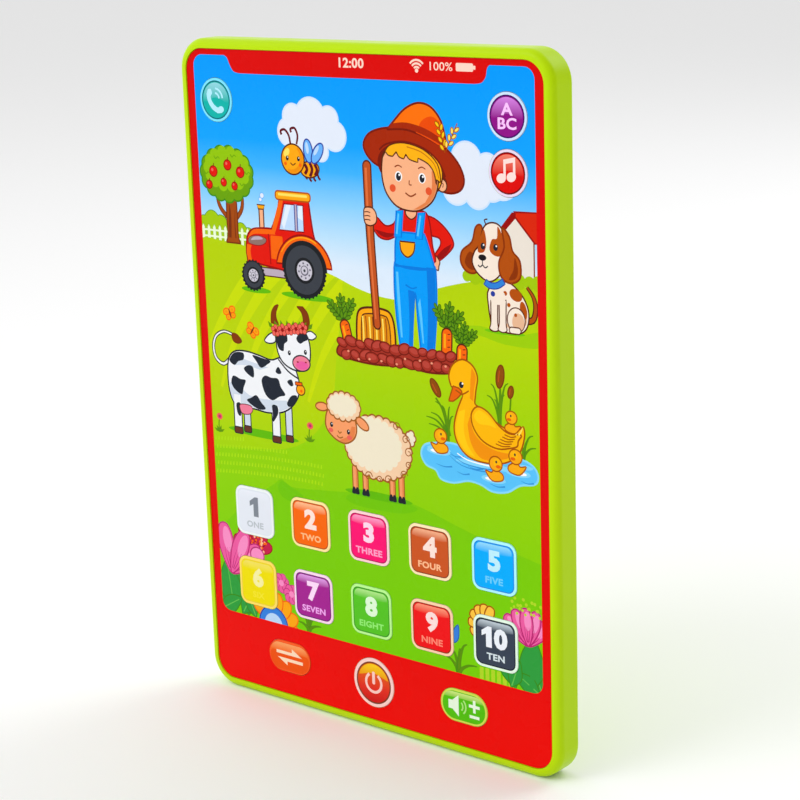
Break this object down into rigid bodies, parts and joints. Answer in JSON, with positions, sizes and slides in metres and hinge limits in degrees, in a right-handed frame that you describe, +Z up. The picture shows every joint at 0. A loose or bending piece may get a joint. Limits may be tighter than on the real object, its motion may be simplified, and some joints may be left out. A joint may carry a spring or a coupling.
{
  "type": "kids toy tablet",
  "caption": "Toy tablet with a printed farm-scene membrane keypad, number keys and icon keys in a rimmed case, over a battery bay, a speaker and a sound board.",
  "frame": {"origin": "middle of the footprint of the whole box, on the surface that the bottom edge stands on", "axes": "+X to the right of someone facing the printed sheet, +Z up the tablet, -Y out of the printed face, +Y out of the battery door"},
  "size_m": [0.16, 0.0168, 0.24],
  "materials": {
    "case_plastic": "moulded satin gloss",
    "printed_film": "glossy printed film",
    "white_film": "adhesive-coated film",
    "clear_film": "milky polyester film",
    "key_white": "glossy printed film",
    "key_orange": "glossy printed film",
    "key_pink": "glossy printed film",
    "key_brown": "glossy printed film",
    "key_blue": "glossy printed film",
    "key_yellow": "glossy printed film",
    "key_purple": "glossy printed film",
    "key_green": "glossy printed film",
    "key_red": "glossy printed film",
    "key_slate": "glossy printed film",
    "icon_teal": "glossy printed film",
    "icon_violet": "glossy printed film",
    "icon_crimson": "glossy printed film",
    "icon_orange": "glossy printed film",
    "icon_power": "glossy printed film",
    "icon_green": "glossy printed film",
    "steel": "zinc plated",
    "cell_jacket": "printed shrink jacket",
    "circuit_board": "green solder mask",
    "black_resin": "cured epoxy",
    "capacitor_can": "printed sleeve",
    "ceramic": "fired ceramic",
    "connector_nylon": "moulded nylon",
    "ferrite": "sintered",
    "cone_film": "formed polyester film",
    "copper_wire": "enamelled",
    "foam": "closed-cell foam",
    "lead_black": "extruded",
    "lead_red": "extruded",
    "lead_yellow": "extruded"
  },
  "bodies": {
    "case": {"front_shell": "case_plastic", "rear_shell": "case_plastic", "case_screws": "steel", "printed_overlay": "printed_film", "overlay_spacer": "white_film", "top_circuit_film": "clear_film", "contact_spacer": "white_film", "bottom_circuit_film": "clear_film", "battery_lower": "cell_jacket", "battery_middle": "cell_jacket", "battery_upper": "cell_jacket", "negative_contact": "steel", "left_bridge_contact": "steel", "right_bridge_contact": "steel", "positive_contact": "steel", "main_board": "circuit_board", "board_screws": "steel", "sound_chip": "black_resin", "amplifier_chip": "black_resin", "capacitors": "capacitor_can", "small_components": "ceramic", "tail_connector": "connector_nylon", "speaker_frame": "steel", "speaker_magnet": "ferrite", "speaker_gasket": "foam", "negative_lead": "lead_black", "positive_lead": "lead_red", "speaker_leads": "lead_yellow"},
    "key_1": {"key_1": "key_white"},
    "key_2": {"key_2": "key_orange"},
    "key_3": {"key_3": "key_pink"},
    "key_4": {"key_4": "key_brown"},
    "key_5": {"key_5": "key_blue"},
    "key_6": {"key_6": "key_yellow"},
    "key_7": {"key_7": "key_purple"},
    "key_8": {"key_8": "key_green"},
    "key_9": {"key_9": "key_red"},
    "key_10": {"key_10": "key_slate"},
    "key_phone": {"key_phone": "icon_teal"},
    "key_letters": {"key_letters": "icon_violet"},
    "key_music": {"key_music": "icon_crimson"},
    "key_mode": {"key_mode": "icon_orange"},
    "key_power": {"key_power": "icon_power"},
    "key_volume": {"key_volume": "icon_green"},
    "battery_door": {"battery_door": "case_plastic"},
    "door_screw": {"door_screw": "steel"},
    "speaker_cone": {"speaker_cone": "cone_film", "voice_coil": "copper_wire"}
  },
  "joints": [
    {"name": "key_1_press", "type": "slide", "parent": "case", "child": "key_1", "axis": [0, 1, 0], "range_m": [0, 0.00035], "stiffness_N_per_m": 1500},
    {"name": "key_2_press", "type": "slide", "parent": "case", "child": "key_2", "axis": [0, 1, 0], "range_m": [0, 0.00035], "stiffness_N_per_m": 1500},
    {"name": "key_3_press", "type": "slide", "parent": "case", "child": "key_3", "axis": [0, 1, 0], "range_m": [0, 0.00035], "stiffness_N_per_m": 1500},
    {"name": "key_4_press", "type": "slide", "parent": "case", "child": "key_4", "axis": [0, 1, 0], "range_m": [0, 0.00035], "stiffness_N_per_m": 1500},
    {"name": "key_5_press", "type": "slide", "parent": "case", "child": "key_5", "axis": [0, 1, 0], "range_m": [0, 0.00035], "stiffness_N_per_m": 1500},
    {"name": "key_6_press", "type": "slide", "parent": "case", "child": "key_6", "axis": [0, 1, 0], "range_m": [0, 0.00035], "stiffness_N_per_m": 1500},
    {"name": "key_7_press", "type": "slide", "parent": "case", "child": "key_7", "axis": [0, 1, 0], "range_m": [0, 0.00035], "stiffness_N_per_m": 1500},
    {"name": "key_8_press", "type": "slide", "parent": "case", "child": "key_8", "axis": [0, 1, 0], "range_m": [0, 0.00035], "stiffness_N_per_m": 1500},
    {"name": "key_9_press", "type": "slide", "parent": "case", "child": "key_9", "axis": [0, 1, 0], "range_m": [0, 0.00035], "stiffness_N_per_m": 1500},
    {"name": "key_10_press", "type": "slide", "parent": "case", "child": "key_10", "axis": [0, 1, 0], "range_m": [0, 0.00035], "stiffness_N_per_m": 1500},
    {"name": "key_phone_press", "type": "slide", "parent": "case", "child": "key_phone", "axis": [0, 1, 0], "range_m": [0, 0.00035], "stiffness_N_per_m": 1500},
    {"name": "key_letters_press", "type": "slide", "parent": "case", "child": "key_letters", "axis": [0, 1, 0], "range_m": [0, 0.00035], "stiffness_N_per_m": 1500},
    {"name": "key_music_press", "type": "slide", "parent": "case", "child": "key_music", "axis": [0, 1, 0], "range_m": [0, 0.00035], "stiffness_N_per_m": 1500},
    {"name": "key_mode_press", "type": "slide", "parent": "case", "child": "key_mode", "axis": [0, 1, 0], "range_m": [0, 0.00035], "stiffness_N_per_m": 1500},
    {"name": "key_power_press", "type": "slide", "parent": "case", "child": "key_power", "axis": [0, 1, 0], "range_m": [0, 0.00035], "stiffness_N_per_m": 1500},
    {"name": "key_volume_press", "type": "slide", "parent": "case", "child": "key_volume", "axis": [0, 1, 0], "range_m": [0, 0.00035], "stiffness_N_per_m": 1500},
    {"name": "door_swing", "type": "hinge", "parent": "case", "child": "battery_door", "pos_m": [-0.024, 0.0067, 0.1493], "axis": [-1, 0, 0], "range_deg": [0, 80]},
    {"name": "door_screw_turn", "type": "hinge", "parent": "battery_door", "child": "door_screw", "pos_m": [-0.024, 0.0064, 0.1922], "axis": [0, 1, 0], "continuous": true},
    {"name": "cone_move", "type": "slide", "parent": "case", "child": "speaker_cone", "axis": [0, 1, 0], "range_m": [-0.0003, 0.0003], "stiffness_N_per_m": 1200}
  ]
}
